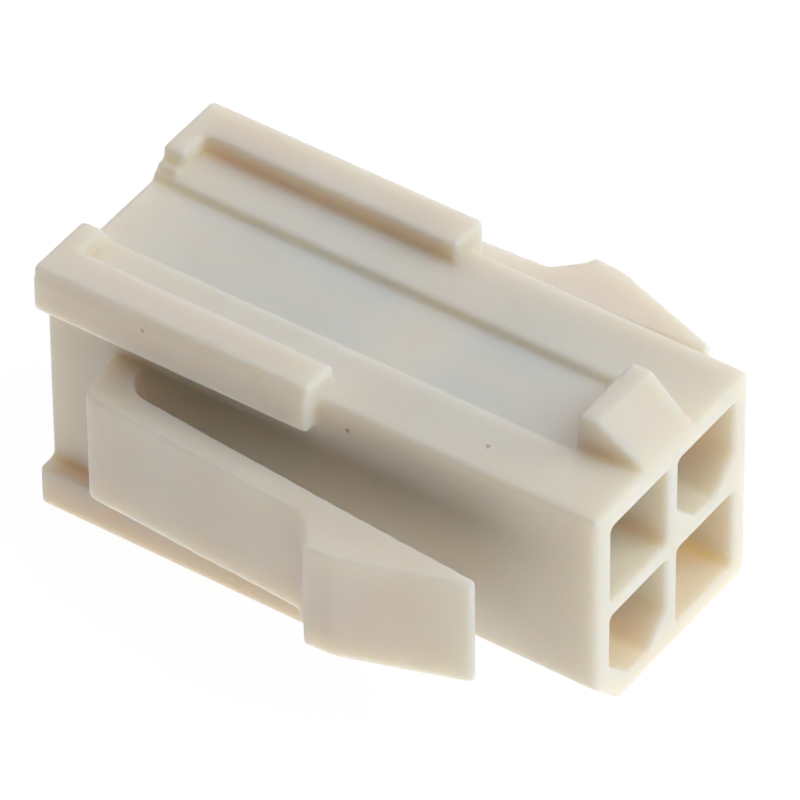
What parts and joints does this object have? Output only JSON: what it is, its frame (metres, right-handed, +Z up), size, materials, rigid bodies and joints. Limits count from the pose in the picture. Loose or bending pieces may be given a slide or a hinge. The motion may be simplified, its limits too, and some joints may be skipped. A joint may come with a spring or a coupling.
{
  "type": "wire to board connector housing",
  "caption": "Rectangular nylon plug housing with open terminal cells, a lock ramp on top, corner rails and two spring ears that snap into a panel cut-out.",
  "frame": {"origin": "under the middle of the housing, on the plane its lower rails rest on", "axes": "+X across the columns of cells, -Y out of the mating face, +Z up through the lock ramp"},
  "size_m": [0.0184, 0.0234, 0.012],
  "materials": {
    "natural_nylon": "fine satin moulded surface"
  },
  "bodies": {
    "root": {"housing": "natural_nylon"}
  },
  "joints": []
}
